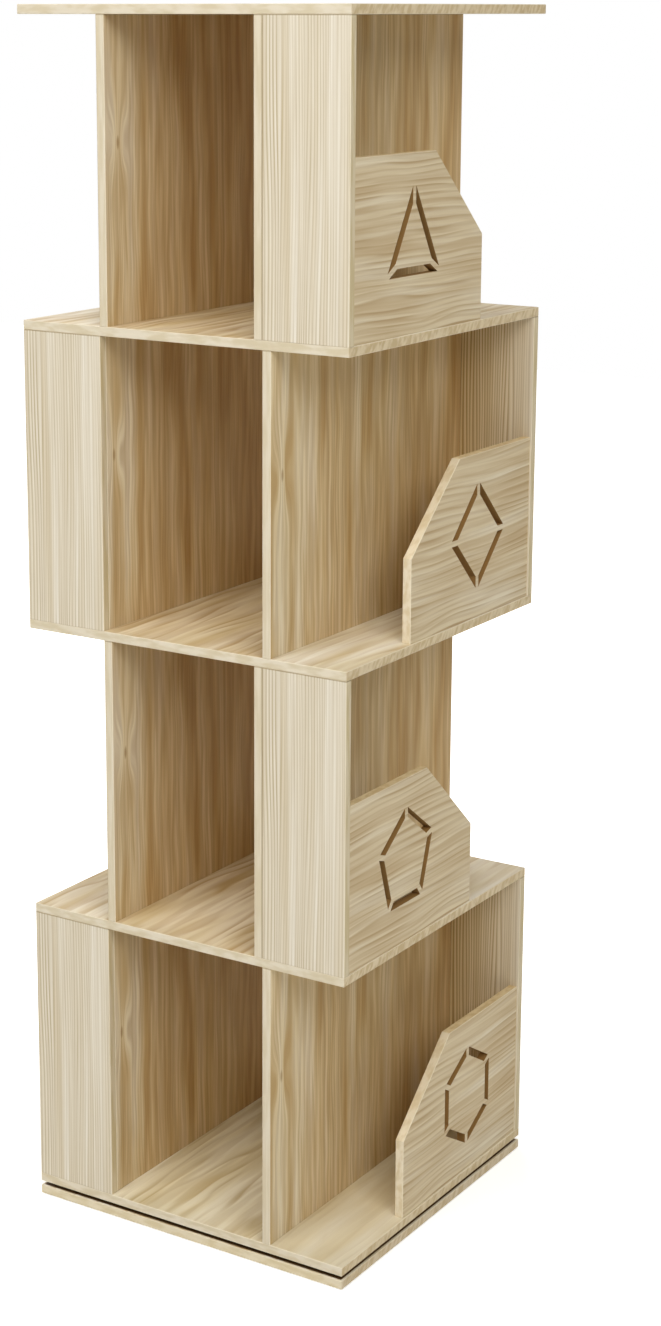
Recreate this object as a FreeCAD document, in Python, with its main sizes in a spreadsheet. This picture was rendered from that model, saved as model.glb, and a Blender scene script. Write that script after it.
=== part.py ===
import FreeCAD, Part
import os
import re
import Sketcher
from FreeCAD import Placement, Rotation, Vector

# Revolving bookcase of pale board, four tiers high, on a square base.
# Each tier stands two dividers, two end panels and two low guards on a square shelf.
# The front and back of a tier are the same, turned half a turn about the middle.
# Tiers one and three lap their end panels over the ends of the dividers.
# Tiers two and four butt their end panels against the sides of the dividers.
# A flat turntable between the base and the bottom shelf lets the tiers turn.
# Millimetres, +Z up, -Y to the front, origin at the centre of the pads' underside.

DRIVING_SIZES = (
    ("plan_size", 400, "side of the square shelves, top board and base board"),
    ("board_thickness", 10, "thickness of every board"),
    ("edge_ease", 0.6, "small bevel along the boards' long edges"),
    ("tier_clear_height", 313.5, "clear height between two shelves"),
    ("end_panel_width", 100, "width of an end panel"),
    ("guard_length", 260, "length of a guard from its end panel to its free end"),
    ("guard_height", 180, "height of a guard over the shelf"),
    ("guard_slope_run", 100, "length of the cut-off corner along the guard"),
    ("guard_slope_drop", 90, "height of the cut-off corner"),
    ("guard_inset", 2, "step from the shelf's edge to the guard's outer face"),
    ("cutout_distance", 117, "end panel to the middle of the guard's cut-out figure"),
    ("cutout_radius", 54, "middle of the figure to its corners, on the slots' middle line"),
    ("cutout_stroke", 9, "width of each slot of the figure"),
    ("cutout_bridge", 6, "wood left between two slots at a corner"),
    ("panel_screw_length", 28, "length of the countersunk screws under the uprights"),
    ("panel_screw_radius", 1.75, "shank radius of those screws"),
    ("panel_screw_head_radius", 3.5, "head radius of those screws"),
    ("panel_screw_recess", 0.2, "depth of the heads under the shelf's face"),
    ("screw_hole_play", 0.1, "gap round a screw in its hole"),
    ("screw_tip_play", 1, "depth of a pilot hole past the screw's tip"),
    ("divider_screw_inset", 45, "end of a divider to its screw"),
    ("panel_screw_inset", 22, "side of an end panel to its screw"),
    ("guard_screw_inset", 60, "end of a guard to its screw"),
    ("dowel_radius", 3, "radius of a dowel"),
    ("dowel_length", 20, "length of a dowel"),
    ("dowel_shelf_depth", 6, "length of the dowel that enters the shelf above"),
    ("dowel_play", 0.1, "gap round a dowel in its hole"),
    ("dowel_end_play", 0.5, "gap past each end of a dowel"),
    ("divider_dowel_inset", 85, "end of a divider to its dowel"),
    ("foot_thickness", 1, "thickness of the stick-on pads under the base"),
    ("foot_size", 32, "side of those square pads"),
    ("foot_inset", 28, "edge of the base to the middle of a pad"),
    ("turntable_gap", 5, "height of the turntable between base and bottom shelf"),
    ("plate_size", 200, "side of the turntable's square plates"),
    ("plate_corner_radius", 14, "corner radius of those plates"),
    ("sheet_thickness", 1, "sheet that the plates are pressed from"),
    ("plate_hole_inset", 14, "edge of a plate to its screw hole"),
    ("dish_outer_radius", 26, "foot of the raised middle of a plate"),
    ("dish_inner_radius", 18, "flat top of the raised middle of a plate"),
    ("race_radius", 70, "radius of the ring of balls"),
    ("ball_radius", 1.5, "radius of a ball"),
    ("race_width", 2.4, "width of the groove that guides the balls"),
    ("race_depth", 0.3, "depth of that groove"),
    ("cage_width", 8, "width of the ring that spaces the balls"),
    ("cage_thickness", 1, "thickness of that ring"),
    ("cage_play", 0.25, "gap round a ball in that ring"),
    ("eyelet_radius", 5, "outer radius of the hollow rivet in the middle"),
    ("eyelet_wall", 1, "wall of the rivet"),
    ("eyelet_flange_radius", 9, "radius of the rivet's flanges"),
    ("eyelet_flange_thickness", 0.7, "thickness of the rivet's flanges"),
    ("eyelet_flange_play", 0.1, "gap over and under each flange"),
    ("eyelet_bore_play", 0.3, "gap round the rivet in the plates"),
    ("plate_screw_length", 8, "length of a plate screw under its head"),
    ("plate_screw_radius", 1.75, "shank radius of a plate screw"),
    ("plate_screw_head_radius", 3.6, "head radius of a plate screw"),
    ("plate_screw_head_height", 1.2, "head height of a plate screw"),
    ("access_hole_radius", 7, "hole in the base that lets a driver reach the upper screws"),
)

# How many sides the guards' cut-out figure has on each tier, from the floor up.
FIGURE_SIDE_COUNTS = (6, 5, 4, 3)
TIER_COUNT = len(FIGURE_SIDE_COUNTS)
# The hidden screws, dowels, balls and rivet are drawn with few flat sides in place of round ones.
FASTENER_SIDE_COUNT = 6
BALL_COUNT = 8
CORNER_COUNT = 4
PAIR_COUNT = 2
LEAN_ANGLE = 45
HALF_TURN = 180
FULL_TURN = 360
CLOSENESS = 1e-6

# Heights and places that follow from the sizes, as formulas.
BASE_TOP = "foot_thickness + board_thickness"
SHELF_PITCH = "(tier_clear_height + board_thickness)"
BALL_HEIGHT = "turntable_gap / 2"
DISH_RISE = "(eyelet_flange_thickness + 2 * eyelet_flange_play)"
PLATE_HOLE = "(plate_size / 2 - plate_hole_inset)"
PANEL_X = "(plan_size - end_panel_width) / 2"
PANEL_Y = "(plan_size - board_thickness) / 2"
GUARD_X = "(plan_size - board_thickness) / 2 - guard_inset"
GUARD_END_Y = "plan_size / 2 - board_thickness"
FLAT_SHARE = "cos(%d deg / %d)" % (HALF_TURN, FASTENER_SIDE_COUNT)
SCREW_HEAD_HEIGHT = "(panel_screw_head_radius - panel_screw_radius) * %s" % FLAT_SHARE
COUNTERSINK_DEPTH = "(panel_screw_head_radius + panel_screw_recess - panel_screw_radius) * %s" % FLAT_SHARE
PLATE_PILOT_DEPTH = "plate_screw_length - sheet_thickness + screw_tip_play"

doc = FreeCAD.newDocument("revolving_bookcase")
sheet = doc.addObject("Spreadsheet::Sheet", "Sizes")
for row, (alias, number, meaning) in enumerate(DRIVING_SIZES, start=1):
    sheet.set("A%d" % row, meaning)
    sheet.set("B%d" % row, str(number))
    sheet.setAlias("B%d" % row, alias)
doc.recompute()

subParts = []


# A formula names sizes by their plain words, which always hold an underscore.
def formula(text):
    return re.sub(r"\b[a-z]+(?:_[a-z]+)+\b", lambda word: "Sizes." + word.group(), text)


def bind(target, path, text):
    target.setExpression(path, formula(text))


def valueNow(text):
    return float(sheet.evalExpression(formula(text)))


def newBody(label, x="0", y="0", z="0", rotation=Rotation()):
    body = doc.addObject("PartDesign::Body", label)
    body.Label = label
    body.Placement = Placement(Vector(), rotation)
    bind(body, ".Placement.Base.x", x)
    bind(body, ".Placement.Base.y", y)
    bind(body, ".Placement.Base.z", z)
    subParts.append(body)
    return body


def originFeature(body, role):
    return next(feature for feature in body.Origin.OriginFeatures if feature.Role == role)


def newSketch(body, name, plane="XY_Plane", height="0"):
    sketch = body.newObject("Sketcher::SketchObject", name)
    sketch.AttachmentSupport = (originFeature(body, plane), [""])
    sketch.MapMode = "FlatFace"
    bind(sketch, ".AttachmentOffset.Base.z", height)
    return sketch


# Hold points of a sketch where formulas place them, each measured from the sketch's origin.
def placePoints(sketch, points):
    rules = []
    texts = []
    for geometry, point, x, y in points:
        for kind, text in (("DistanceX", x), ("DistanceY", y)):
            rules.append(Sketcher.Constraint(kind, -1, 1, geometry, point, valueNow(text)))
            texts.append(text)
    for index, text in zip(sketch.addConstraint(rules), texts):
        bind(sketch, "Constraints[%d]" % index, text)


# A closed outline of straight lines through corners that formulas place.
def drawOutline(sketch, corners):
    first = sketch.GeometryCount
    last = first + len(corners) - 1
    spots = [Vector(valueNow(x), valueNow(y), 0) for x, y in corners]
    sketch.addGeometry([Part.LineSegment(spots[index - 1], spot) for index, spot in enumerate(spots)])
    joints = [(index, index + 1) for index in range(first, last)] + [(last, first)]
    sketch.addConstraint([Sketcher.Constraint("Coincident", one, 2, other, 1) for one, other in joints])
    placePoints(sketch, [(first + index, 2, x, y) for index, (x, y) in enumerate(corners)])


def drawRectangle(sketch, width, depth, x="0", y="0"):
    drawOutline(sketch, [
        ("%s %s (%s) / 2" % (x, side, width), "%s %s (%s) / 2" % (y, end, depth))
        for side, end in ("--", "+-", "++", "-+")
    ])


# Equal circles at the given places.
def drawCircles(sketch, places, radius):
    for index, (x, y) in enumerate(places):
        centre = Vector(valueNow(x), valueNow(y), 0)
        sketch.addGeometry(Part.Circle(centre, Vector(0, 0, 1), valueNow(radius)))
        if index > 0:
            sketch.addConstraint(Sketcher.Constraint("Equal", 0, index))
    placePoints(sketch, [(index, 3, x, y) for index, (x, y) in enumerate(places)])
    size = sketch.addConstraint(Sketcher.Constraint("Radius", 0, valueNow(radius)))
    bind(sketch, "Constraints[%d]" % size, radius)


# Equal flat-sided outlines at the given places, for the hidden fasteners and their holes.
def drawFlatSided(sketch, places, radius):
    for x, y in places:
        corners = []
        for corner in range(FASTENER_SIDE_COUNT):
            turn = "%d * %d deg / %d" % (2 * corner + 1, HALF_TURN, FASTENER_SIDE_COUNT)
            along = "%s + (%s) * cos(%s)" % (x, radius, turn)
            across = "%s + (%s) * sin(%s)" % (y, radius, turn)
            corners.append((along, across))
        drawOutline(sketch, corners)


# One side of a cut-out figure: a slot whose ends are mitred beside the bridges at its corners.
def drawSlot(sketch, sides):
    halfSide = "%d deg / %d" % (HALF_TURN, sides)
    outer = "(cutout_radius * cos(%s) + cutout_stroke / 2)" % halfSide
    inner = "(cutout_radius * cos(%s) - cutout_stroke / 2)" % halfSide
    reach = "(%s * tan(%s) - cutout_bridge / 2 / cos(%s))"
    outerReach = reach % (outer, halfSide, halfSide)
    innerReach = reach % (inner, halfSide, halfSide)
    drawOutline(sketch, (
        ("-%s" % innerReach, inner),
        (innerReach, inner),
        (outerReach, outer),
        ("-%s" % outerReach, outer),
    ))


def pad(body, sketch, length, downward=False, centred=False, lean=0):
    feature = body.newObject("PartDesign::Pad", "Pad")
    feature.Profile = sketch
    feature.Reversed = downward
    feature.TaperAngle = lean
    if centred:
        feature.SideType = "Symmetric"
    bind(feature, "Length", length)
    doc.recompute()
    return feature


def requireCut(body, before):
    if not body.Shape.Volume < before:
        raise RuntimeError("a cut in %s removes nothing" % body.Label)


# A pocket from its sketch down into the piece, or up into it.
def pocket(body, sketch, depth=None, upward=False, lean=0):
    before = body.Shape.Volume
    feature = body.newObject("PartDesign::Pocket", "Pocket")
    feature.Profile = sketch
    feature.Reversed = upward
    feature.TaperAngle = lean
    if depth is None:
        feature.Type = "ThroughAll"
        feature.Midplane = True
    else:
        bind(feature, "Length", depth)
    doc.recompute()
    requireCut(body, before)
    return feature


# Even copies of some features round the body's upright axis.
def copyRound(body, originals, count):
    ring = body.newObject("PartDesign::PolarPattern", "Ring")
    ring.Originals = originals
    ring.Axis = (originFeature(body, "Z_Axis"), [""])
    ring.Angle = FULL_TURN
    ring.Occurrences = count
    body.Tip = ring
    doc.recompute()


def easeEdges(body, solid, chosen):
    names = ["Edge%d" % (index + 1) for index, edge in enumerate(solid.Shape.Edges) if chosen(edge)]
    feature = body.newObject("PartDesign::Chamfer", "EasedEdges")
    feature.Base = (solid, names)
    bind(feature, "Size", "edge_ease")
    doc.recompute()


def runsAlong(edge, axis):
    direction = edge.lastVertex().Point.sub(edge.firstVertex().Point)
    return direction.cross(axis).Length < CLOSENESS


# Holes up from the underside of an upright for the screws, and down from its top for the dowels.
def pilotHoles(body, places):
    sketch = newSketch(body, "ScrewPlaces")
    drawFlatSided(sketch, places, "panel_screw_radius + screw_hole_play")
    depth = "panel_screw_recess + panel_screw_length - board_thickness + screw_tip_play"
    pocket(body, sketch, depth, upward=True)


def dowelHoles(body, places):
    sketch = newSketch(body, "DowelPlaces", height="tier_clear_height")
    drawFlatSided(sketch, places, "dowel_radius + dowel_play")
    pocket(body, sketch, "dowel_length - dowel_shelf_depth + dowel_end_play")


# An upright's frame: where it stands on its tier and the places of its screws and dowels.
# The half turn about the middle of the tier carries the first of each pair to the second.
class Upright:
    def __init__(self, name, kind, x, y, turned, screws, dowels):
        self.name = name
        self.kind = kind
        self.x = x
        self.y = y
        self.turned = turned
        self.screws = screws
        self.dowels = dowels

    def onTier(self, places):
        sign = "-" if self.turned else "+"
        return [("%s %s (%s)" % (self.x, sign, x), "%s %s (%s)" % (self.y, sign, y)) for x, y in places]


def isLapped(tier):
    return tier % 2 == 1


def dividerLength(tier):
    return "(plan_size - board_thickness)" if isLapped(tier) else "plan_size"


# Counted from the tier's right half, the second of each pair is the first turned about the middle.
def tierUprights(tier):
    lapped = isLapped(tier)
    outward = "+" if lapped else "-"
    dividerX = "plan_size / 2 - end_panel_width %s board_thickness / 2" % outward
    rightY = "-board_thickness / 2" if lapped else "0"
    leftY = "board_thickness / 2" if lapped else "0"
    panelFront = "left" if lapped else "right"
    screwY = "%s / 2 - divider_screw_inset" % dividerLength(tier)
    dowelY = "%s / 2 - divider_dowel_inset" % dividerLength(tier)
    dividerScrews = [("0", screwY), ("0", "-(%s)" % screwY)]
    dividerDowels = [("0", dowelY), ("0", "-(%s)" % dowelY)]
    panelScrewX = "end_panel_width / 2 - panel_screw_inset"
    panelScrews = [(panelScrewX, "0"), ("-(%s)" % panelScrewX, "0")]
    panelDowels = [("0", "0")]
    guardScrews = [("0", "guard_screw_inset"), ("0", "guard_length - guard_screw_inset")]
    frontX = ("-(%s)" if lapped else "(%s)") % PANEL_X
    backX = ("(%s)" if lapped else "-(%s)") % PANEL_X
    rightGuardY = ("(%s)" if lapped else "-(%s)") % GUARD_END_Y
    leftGuardY = ("-(%s)" if lapped else "(%s)") % GUARD_END_Y
    return (
        Upright("divider_right", "divider", dividerX, rightY, False, dividerScrews, dividerDowels),
        Upright("divider_left", "divider", "-(%s)" % dividerX, leftY, True, dividerScrews, dividerDowels),
        Upright("end_panel_front", "panel", frontX, "-(%s)" % PANEL_Y, False, panelScrews, panelDowels),
        Upright("end_panel_back", "panel", backX, PANEL_Y, True, panelScrews, panelDowels),
        Upright("guard_right", "guard", GUARD_X, rightGuardY, lapped, guardScrews, []),
        Upright("guard_left", "guard", "-(%s)" % GUARD_X, leftGuardY, not lapped, guardScrews, []),
    )


def shelfHeight(level):
    return "%s + turntable_gap + %d * %s" % (BASE_TOP, level, SHELF_PITCH)


def standUpright(tier, upright):
    label = "tier_%d_%s" % (tier, upright.name)
    height = "%s + board_thickness" % shelfHeight(tier - 1)
    rotation = Rotation(Vector(0, 0, 1), HALF_TURN if upright.turned else 0)
    return newBody(label, upright.x, upright.y, height, rotation)


# A divider or an end panel: a plain board, its four standing edges eased.
def makeBoard(tier, upright, width, depth):
    body = standUpright(tier, upright)
    outline = newSketch(body, "Outline")
    drawRectangle(outline, width, depth)
    solid = pad(body, outline, "tier_clear_height")
    easeEdges(body, solid, lambda edge: runsAlong(edge, Vector(0, 0, 1)))
    pilotHoles(body, upright.screws)
    dowelHoles(body, upright.dowels)


# A guard: a low board whose free top corner is cut off, with a figure of slots cut through it.
# The figure is a regular polygon of straight slots, point up, with a bridge left at each corner.
def makeGuard(tier, upright, sides):
    body = standUpright(tier, upright)
    outline = newSketch(body, "Outline", "YZ_Plane")
    drawOutline(outline, (
        ("0", "0"),
        ("guard_length", "0"),
        ("guard_length", "guard_height - guard_slope_drop"),
        ("guard_length - guard_slope_run", "guard_height"),
        ("0", "guard_height"),
    ))
    solid = pad(body, outline, "board_thickness", centred=True)
    easeEdges(body, solid, isFreeEdge)
    pilotHoles(body, upright.screws)

    slot = newSketch(body, "Slot", "YZ_Plane")
    slot.AttachmentOffset = Placement(Vector(), Rotation(Vector(0, 0, 1), HALF_TURN / sides))
    bind(slot, ".AttachmentOffset.Base.x", "cutout_distance")
    bind(slot, ".AttachmentOffset.Base.y", "guard_height / 2")
    drawSlot(slot, sides)
    cut = pocket(body, slot)
    figure = body.newObject("PartDesign::PolarPattern", "Figure")
    figure.Originals = [cut]
    figure.Axis = (slot, ["N_Axis"])
    figure.Angle = FULL_TURN
    figure.Occurrences = sides
    body.Tip = figure
    doc.recompute()


# The edges round both faces of a guard, apart from those on the shelf and on the end panel.
def isFreeEdge(edge):
    middle = edge.CenterOfMass
    crosses = runsAlong(edge, Vector(1, 0, 0))
    return not crosses and middle.y > CLOSENESS and middle.z > CLOSENESS


# A square board of the plan's size, all its edges eased.
def makeSquare(label, height):
    body = newBody(label, z=height)
    outline = newSketch(body, "Outline")
    drawRectangle(outline, "plan_size", "plan_size")
    solid = pad(body, outline, "board_thickness")
    easeEdges(body, solid, lambda edge: True)
    return body


# The screw or dowel places of the first upright of each pair: a half turn gives those of the second.
def tierPlaces(tier, kind):
    firsts = tierUprights(tier)[::PAIR_COUNT]
    return [place for upright in firsts for place in upright.onTier(getattr(upright, kind))]


# Blind holes for the screws of a turntable plate.
# The upper plate lies upside down, so its holes go round from the mirrored corner.
def plateScrewPilots(body, height, upward):
    sketch = newSketch(body, "PlateScrewPlace", height=height)
    mirrored = "-%s" % PLATE_HOLE if upward else PLATE_HOLE
    drawFlatSided(sketch, [(PLATE_HOLE, mirrored)], "plate_screw_radius + screw_hole_play")
    copyRound(body, [pocket(body, sketch, PLATE_PILOT_DEPTH, upward=upward)], CORNER_COUNT)


# A shelf, or the top board: countersunk holes for the uprights above, dowel holes for those below.
def makeShelf(level, label):
    body = makeSquare(label, shelfHeight(level))
    if level < TIER_COUNT:
        holes = newSketch(body, "ScrewHoles")
        drawFlatSided(holes, tierPlaces(level + 1, "screws"), "panel_screw_radius + screw_hole_play")
        through = pocket(body, holes)
        sinks = newSketch(body, "Countersinks")
        sinkRadius = "panel_screw_head_radius + panel_screw_recess + screw_hole_play"
        drawFlatSided(sinks, tierPlaces(level + 1, "screws"), sinkRadius)
        sink = pocket(body, sinks, COUNTERSINK_DEPTH, upward=True, lean=-LEAN_ANGLE)
        copyRound(body, [through, sink], PAIR_COUNT)
    if level > 0:
        dowels = newSketch(body, "DowelPlaces")
        drawFlatSided(dowels, tierPlaces(level, "dowels"), "dowel_radius + dowel_play")
        socket = pocket(body, dowels, "dowel_shelf_depth + dowel_end_play", upward=True)
        copyRound(body, [socket], PAIR_COUNT)
    else:
        plateScrewPilots(body, "0", upward=True)


# The countersunk screws that hold one tier's uprights from below, one solid each.
def makeTierScrews(tier):
    body = newBody("tier_%d_screws" % tier, z="%s + panel_screw_recess" % shelfHeight(tier - 1))
    heads = newSketch(body, "Heads")
    drawFlatSided(heads, tierPlaces(tier, "screws"), "panel_screw_head_radius")
    head = pad(body, heads, SCREW_HEAD_HEIGHT, lean=-LEAN_ANGLE)
    shanks = newSketch(body, "Shanks")
    drawFlatSided(shanks, tierPlaces(tier, "screws"), "panel_screw_radius")
    copyRound(body, [head, pad(body, shanks, "panel_screw_length")], PAIR_COUNT)


def makeTierDowels(tier):
    low = "dowel_length - dowel_shelf_depth"
    body = newBody("tier_%d_dowels" % tier, z="%s - (%s)" % (shelfHeight(tier), low))
    sketch = newSketch(body, "Dowels")
    drawFlatSided(sketch, tierPlaces(tier, "dowels"), "dowel_radius")
    copyRound(body, [pad(body, sketch, "dowel_length")], PAIR_COUNT)


# The base: one square board with blind holes for the lower plate and one hole for a driver.
def makeBase():
    body = makeSquare("base_board", "foot_thickness")
    plateScrewPilots(body, "board_thickness", upward=False)
    access = newSketch(body, "AccessHole")
    drawCircles(access, [("%s * sqrt(2)" % PLATE_HOLE, "0")], "access_hole_radius")
    pocket(body, access)


def makeFeet():
    body = newBody("base_pads")
    inset = "plan_size / 2 - foot_inset"
    sketch = newSketch(body, "Pad")
    drawRectangle(sketch, "foot_size", "foot_size", inset, inset)
    copyRound(body, [pad(body, sketch, "foot_thickness")], CORNER_COUNT)


# A profile turned once round the body's upright axis.
def revolve(body, kind, profile):
    feature = body.newObject(kind, "Turned")
    feature.Profile = profile
    feature.ReferenceAxis = (profile, ["V_Axis"])
    feature.Angle = FULL_TURN
    doc.recompute()


# One pressed plate: a square flange with a ball groove, a dished middle and four screw holes.
# The upper plate is the same pressing, upside down.
def makePlate(label, height, rotation):
    body = newBody(label, z=height, rotation=rotation)
    outline = newSketch(body, "Outline")
    drawRectangle(outline, "plate_size", "plate_size")
    flange = pad(body, outline, "sheet_thickness")
    corners = body.newObject("PartDesign::Fillet", "Corners")
    corners.Base = (flange, [
        "Edge%d" % (index + 1)
        for index, edge in enumerate(flange.Shape.Edges)
        if runsAlong(edge, Vector(0, 0, 1))
    ])
    bind(corners, "Radius", "plate_corner_radius")
    doc.recompute()

    opening = newSketch(body, "DishOpening")
    drawCircles(opening, [("0", "0")], "dish_outer_radius")
    pocket(body, opening)
    profile = newSketch(body, "DishProfile", "XZ_Plane")
    bore = "eyelet_radius + eyelet_bore_play"
    drawOutline(profile, (
        ("dish_outer_radius", "0"),
        ("dish_outer_radius", "sheet_thickness"),
        ("dish_inner_radius", "%s + sheet_thickness" % DISH_RISE),
        (bore, "%s + sheet_thickness" % DISH_RISE),
        (bore, DISH_RISE),
        ("dish_inner_radius", DISH_RISE),
    ))
    revolve(body, "PartDesign::Revolution", profile)

    section = newSketch(body, "GrooveSection", "XZ_Plane")
    drawOutline(section, (
        ("race_radius - race_width / 2", "sheet_thickness"),
        ("race_radius", "sheet_thickness - race_depth"),
        ("race_radius + race_width / 2", "sheet_thickness"),
    ))
    before = body.Shape.Volume
    revolve(body, "PartDesign::Groove", section)
    requireCut(body, before)

    hole = newSketch(body, "ScrewPlace")
    drawFlatSided(hole, [(PLATE_HOLE, PLATE_HOLE)], "plate_screw_radius + screw_hole_play")
    copyRound(body, [pocket(body, hole)], CORNER_COUNT)


def makePlateScrews(label, height, rotation):
    body = newBody(label, z=height, rotation=rotation)
    outline = newSketch(body, "Head", height="sheet_thickness")
    drawFlatSided(outline, [(PLATE_HOLE, PLATE_HOLE)], "plate_screw_head_radius")
    head = pad(body, outline, "plate_screw_head_height")
    section = newSketch(body, "Shank", height="sheet_thickness")
    drawFlatSided(section, [(PLATE_HOLE, PLATE_HOLE)], "plate_screw_radius")
    copyRound(body, [head, pad(body, section, "plate_screw_length", downward=True)], CORNER_COUNT)


# The balls between the two plates, each lofted through flat-sided rings of its sphere.
def makeBalls():
    body = newBody("turntable_balls", z="%s + %s" % (BASE_TOP, BALL_HEIGHT))
    rings = []
    for step in range(FASTENER_SIDE_COUNT // 2):
        steps = "(%d - %d / 2)" % (2 * step + 1, FASTENER_SIDE_COUNT)
        climb = "%s * %d deg / %d" % (steps, HALF_TURN, FASTENER_SIDE_COUNT)
        ring = newSketch(body, "BallRing", height="ball_radius * sin(%s)" % climb)
        drawFlatSided(ring, [("race_radius", "0")], "ball_radius * cos(%s)" % climb)
        rings.append(ring)
    ball = body.newObject("PartDesign::AdditiveLoft", "Ball")
    ball.Profile = rings[0]
    ball.Sections = rings[1:]
    ball.Ruled = True
    doc.recompute()
    copyRound(body, [ball], BALL_COUNT)


# The flat ring that spaces the balls.
def makeCage():
    body = newBody("ball_cage", z="%s + %s" % (BASE_TOP, BALL_HEIGHT))
    ring = newSketch(body, "Ring")
    drawCircles(ring, [("0", "0")], "race_radius + cage_width / 2")
    pad(body, ring, "cage_thickness", centred=True)
    middle = newSketch(body, "Middle")
    drawCircles(middle, [("0", "0")], "race_radius - cage_width / 2")
    pocket(body, middle)
    seat = newSketch(body, "BallSeat")
    drawFlatSided(seat, [("race_radius", "0")], "ball_radius + cage_play")
    copyRound(body, [pocket(body, seat)], BALL_COUNT)


# The hollow rivet that holds the two plates together and carries the turning middle.
def makeEyelet():
    body = newBody("centre_rivet", z="%s + eyelet_flange_play" % BASE_TOP)
    upperFlange = "turntable_gap - 2 * eyelet_flange_play - eyelet_flange_thickness"
    for name, height, radius, length in (
        ("LowerFlange", "0", "eyelet_flange_radius", "eyelet_flange_thickness"),
        ("Shank", "0", "eyelet_radius", upperFlange),
        ("UpperFlange", upperFlange, "eyelet_flange_radius", "eyelet_flange_thickness"),
    ):
        outline = newSketch(body, name, height=height)
        drawFlatSided(outline, [("0", "0")], radius)
        pad(body, outline, length)
    bore = newSketch(body, "Bore")
    drawFlatSided(bore, [("0", "0")], "eyelet_radius - eyelet_wall")
    pocket(body, bore)


UPRIGHT_WAY = Rotation()
UPSIDE_DOWN = Rotation(Vector(1, 0, 0), HALF_TURN)

makeFeet()
makeBase()
makePlate("turntable_plate_lower", BASE_TOP, UPRIGHT_WAY)
makePlateScrews("turntable_screws_lower", BASE_TOP, UPRIGHT_WAY)
makePlate("turntable_plate_upper", "%s + turntable_gap" % BASE_TOP, UPSIDE_DOWN)
makePlateScrews("turntable_screws_upper", "%s + turntable_gap" % BASE_TOP, UPSIDE_DOWN)
makeBalls()
makeCage()
makeEyelet()

makeShelf(0, "bottom_shelf")
for tier, sides in enumerate(FIGURE_SIDE_COUNTS, start=1):
    for upright in tierUprights(tier):
        if upright.kind == "divider":
            makeBoard(tier, upright, "board_thickness", dividerLength(tier))
        elif upright.kind == "panel":
            makeBoard(tier, upright, "end_panel_width", "board_thickness")
        else:
            makeGuard(tier, upright, sides)
    makeTierScrews(tier)
    makeTierDowels(tier)
    makeShelf(tier, "top_board" if tier == TIER_COUNT else "shelf_%d" % tier)

doc.recompute()
for item in doc.Objects:
    if "Invalid" in item.State or "Error" in item.State:
        raise RuntimeError("%s is in state %s" % (item.Label, item.State))
for body in subParts:
    if body.Shape.isNull() or not body.Shape.isValid():
        raise RuntimeError("%s has no valid shape" % body.Label)

os.makedirs("parts", exist_ok=True)
for body in subParts:
    body.Shape.exportStep("parts/%s.step" % body.Label)
    box = body.Shape.BoundBox
    span = (box.XMin, box.XMax, box.YMin, box.YMax, box.ZMin, box.ZMax)
    print(body.Label, len(body.Shape.Solids), "solids", " ".join("%.2f" % value for value in span))
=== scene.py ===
import functools
import math
import random
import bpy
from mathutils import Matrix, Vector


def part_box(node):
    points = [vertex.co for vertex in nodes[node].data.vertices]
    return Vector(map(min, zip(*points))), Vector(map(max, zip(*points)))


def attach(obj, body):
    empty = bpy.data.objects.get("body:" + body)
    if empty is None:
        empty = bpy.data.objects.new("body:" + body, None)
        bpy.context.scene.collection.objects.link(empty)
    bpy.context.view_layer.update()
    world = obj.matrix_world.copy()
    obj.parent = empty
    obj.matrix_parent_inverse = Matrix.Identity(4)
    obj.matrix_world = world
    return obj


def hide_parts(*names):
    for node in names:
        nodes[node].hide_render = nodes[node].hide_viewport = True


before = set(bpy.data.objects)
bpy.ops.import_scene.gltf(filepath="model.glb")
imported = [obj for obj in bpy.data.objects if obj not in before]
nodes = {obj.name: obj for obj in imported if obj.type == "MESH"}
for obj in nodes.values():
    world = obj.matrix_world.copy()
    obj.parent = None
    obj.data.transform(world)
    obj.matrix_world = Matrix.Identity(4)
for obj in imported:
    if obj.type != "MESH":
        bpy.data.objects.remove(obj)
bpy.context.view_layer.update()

import types

import bmesh
import bpy
from mathutils import Matrix, Vector

# Revolving bookcase of printed pine board: looks, small fasteners, light and camera.
# Metres, +Z up, -Y to the front, origin under the middle of the base.

mm = 0.001
rng = random.Random(7)

tiers = (1, 2, 3, 4)
tierPitch = 323.5 * mm
firstShelf = 16 * mm            # the underside of the bottom shelf
boardHalf = 200 * mm
columnHalf = 100 * mm           # from the middle of the bookcase to the dividers
weldReach = 0.002 * mm
sharpAngle = math.radians(35)
axisUnits = ((1, 0, 0), (0, 1, 0), (0, 0, 1))

# Settings that many nodes share.
smooth = {"interpolation_type": "SMOOTHSTEP"}
coloured = {"data_type": "RGBA"}
tinted = {"data_type": "RGBA", "blend_type": "MULTIPLY"}


def linearColour(hexColour):
    channels = [int(hexColour[i:i + 2], 16) / 255 for i in (1, 3, 5)]
    return [c / 12.92 if c <= 0.04045 else ((c + 0.055) / 1.055) ** 2.4 for c in channels] + [1.0]


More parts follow.
